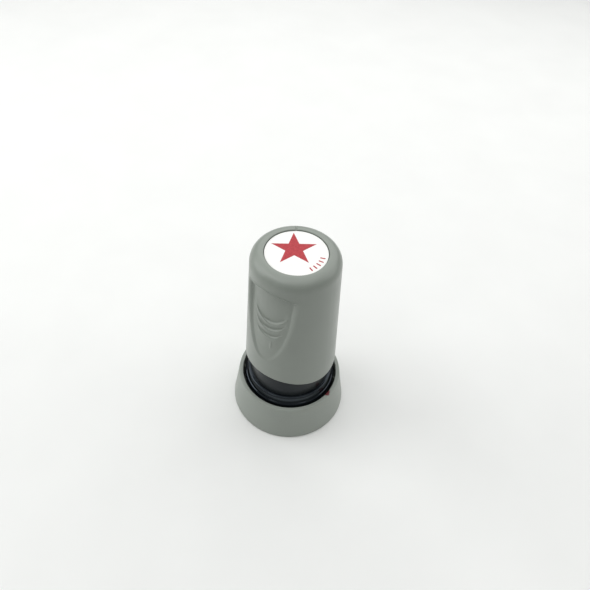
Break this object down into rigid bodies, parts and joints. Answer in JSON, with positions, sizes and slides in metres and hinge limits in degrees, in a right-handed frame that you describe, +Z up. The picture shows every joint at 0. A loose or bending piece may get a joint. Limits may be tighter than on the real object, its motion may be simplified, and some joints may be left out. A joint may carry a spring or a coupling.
{
  "type": "rubber stamp",
  "caption": "Round spring-loaded self-inking star stamp with a tapered grip, a black sliding skirt and a flared cap that it stands in.",
  "frame": {"origin": "centre of the circle that the cap stands on", "axes": "+Z up the stamp's axis, -Y and +Y through the two finger grips"},
  "size_m": [0.0376, 0.0376, 0.0668],
  "materials": {
    "grey_plastic": "satin moulded ABS",
    "black_plastic": "satin moulded ABS",
    "white_plastic": "moulded polypropylene, stained by ink",
    "seal_rubber": "smooth moulded rubber",
    "inked_felt": "felt soaked in red ink",
    "die_rubber": "microporous rubber, inked",
    "spring_steel": "drawn wire",
    "label_paper": "printed paper"
  },
  "bodies": {
    "cap": {"cap_shell": "grey_plastic"},
    "skirt": {"skirt_sleeve": "black_plastic", "return_spring": "spring_steel"},
    "grip": {"housing_barrel": "grey_plastic", "die_holder": "white_plastic", "neck_seal_ring": "seal_rubber", "ink_felt": "inked_felt", "backing_plate": "white_plastic", "star_die": "die_rubber", "die_ring": "black_plastic"},
    "plug": {"index_plug": "grey_plastic", "plug_seal_ring": "seal_rubber", "index_label": "label_paper"}
  },
  "joints": [
    {"name": "cap_pull", "type": "slide", "parent": "cap", "child": "skirt", "axis": [0, 0, 1], "range_m": [0, 0.03]},
    {"name": "grip_press", "type": "slide", "parent": "skirt", "child": "grip", "axis": [0, 0, 1], "range_m": [-0.0065, 0], "stiffness_N_per_m": 700, "springref_m": 0.005, "deforming": ["return_spring"]},
    {"name": "plug_lift", "type": "slide", "parent": "grip", "child": "plug", "axis": [0, 0, 1], "range_m": [0, 0.012]}
  ]
}
